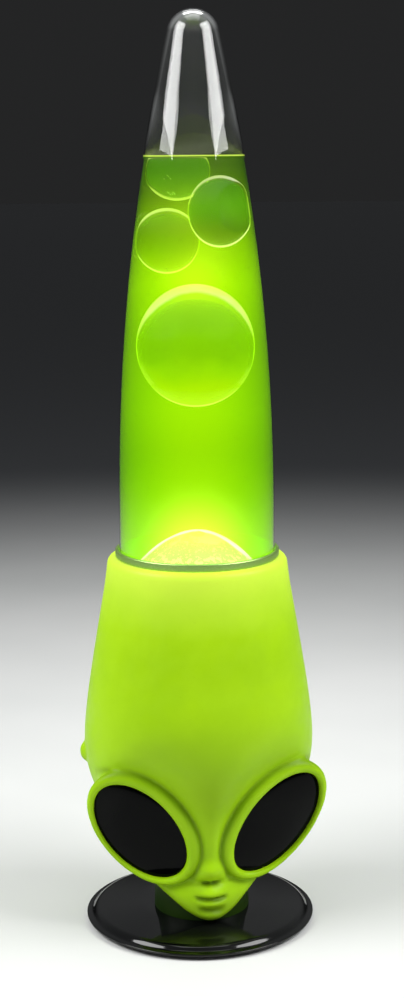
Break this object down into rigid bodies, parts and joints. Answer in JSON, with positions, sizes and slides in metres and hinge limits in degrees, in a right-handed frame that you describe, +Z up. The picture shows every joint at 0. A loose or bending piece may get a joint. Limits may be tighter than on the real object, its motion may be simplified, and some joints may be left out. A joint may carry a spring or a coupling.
{
  "type": "lava lamp",
  "caption": "Desk lava lamp: a bullet-shaped bottle of glowing green liquid and wax standing in a hollow, big-eyed alien head on a round black foot.",
  "frame": {"origin": "on the table, at the centre of the round foot", "axes": "+Z up along the bottle's axis; the alien's face looks towards -Y; +X is the side of its left eye as a viewer facing it sees it on the right"},
  "size_m": [0.116, 0.112, 0.432],
  "materials": {
    "foot_paint": "gloss",
    "cover_plastic": "matte",
    "pad_rubber": "matte",
    "screw_steel": "bright zinc",
    "head_plastic": "satin",
    "neck_plastic": "satin",
    "eye_plastic": "high gloss",
    "gland_rubber": "matte",
    "cup_aluminium": "satin",
    "gasket_silicone": "matte",
    "bracket_steel": "brushed",
    "holder_plastic": "matte",
    "contact_brass": "bright",
    "lamp_insulator": "gloss",
    "bulb_clear": "clear",
    "filament_wire": "dull",
    "bottle_clear": "clear",
    "bung_rubber": "matte",
    "lime_liquid": "clear dyed liquid",
    "green_wax": "translucent wax",
    "coil_steel": "bright wire"
  },
  "bodies": {
    "base": {"foot_disc": "foot_paint", "underside_cover": "cover_plastic", "rubber_pads": "pad_rubber", "cover_screws": "screw_steel", "neck": "neck_plastic", "neck_screws": "screw_steel", "cord_gland": "gland_rubber", "head_shell": "head_plastic", "left_eye": "eye_plastic", "right_eye": "eye_plastic", "bottle_cup": "cup_aluminium", "seat_gasket": "gasket_silicone", "cup_screws": "screw_steel", "socket_bracket": "bracket_steel", "bracket_rivets": "screw_steel", "lamp_holder": "holder_plastic", "holder_ring_nut": "holder_plastic", "holder_screw_shell": "contact_brass", "holder_contact": "contact_brass", "terminal_screws": "contact_brass"},
    "bulb_tip": {"bulb_contact": "contact_brass", "bulb_insulator": "lamp_insulator"},
    "bulb": {"bulb_cap": "contact_brass", "bulb_glass": "bulb_clear", "bulb_stem": "bulb_clear", "bulb_filament": "filament_wire"},
    "bottle": {"bottle_glass": "bottle_clear", "filler_bung": "bung_rubber", "wax_mound": "green_wax", "wire_coil": "coil_steel", "liquid": "lime_liquid"},
    "wax_large": {"wax_blob_large": "green_wax"},
    "wax_left": {"wax_blob_left": "green_wax"},
    "wax_right": {"wax_blob_right": "green_wax"},
    "wax_surface": {"wax_blob_surface": "green_wax"}
  },
  "joints": [
    {"name": "bulb_advance", "type": "slide", "parent": "base", "child": "bulb_tip", "axis": [0, 0, 1], "range_m": [0, 0.01552]},
    {"name": "bulb_turn", "type": "hinge", "parent": "bulb_tip", "child": "bulb", "pos_m": [0, 0, 0.1], "axis": [0, 0, 1], "range_deg": [0, 1980]},
    {"name": "bottle_lift", "type": "slide", "parent": "base", "child": "bottle", "axis": [0, 0, 1], "range_m": [0, 0.08]},
    {"name": "wax_large_drift", "type": "slide", "parent": "bottle", "child": "wax_large", "axis": [0, 0, 1], "range_m": [-0.05, 0.002], "deforming": ["liquid"]},
    {"name": "wax_left_drift", "type": "slide", "parent": "bottle", "child": "wax_left", "axis": [0, 0, 1], "range_m": [-0.004, 0.0025], "deforming": ["liquid"]},
    {"name": "wax_right_drift", "type": "slide", "parent": "bottle", "child": "wax_right", "axis": [0, 0, 1], "range_m": [-0.004, 0.004], "deforming": ["liquid"]},
    {"name": "wax_surface_drift", "type": "slide", "parent": "bottle", "child": "wax_surface", "axis": [0, 0, 1], "range_m": [-0.0025, 0.0004], "deforming": ["liquid"]}
  ],
  "couplings": [
    {"joint": "bulb_advance", "follows": "bulb_turn", "m_per_rad": 0.00044882}
  ]
}
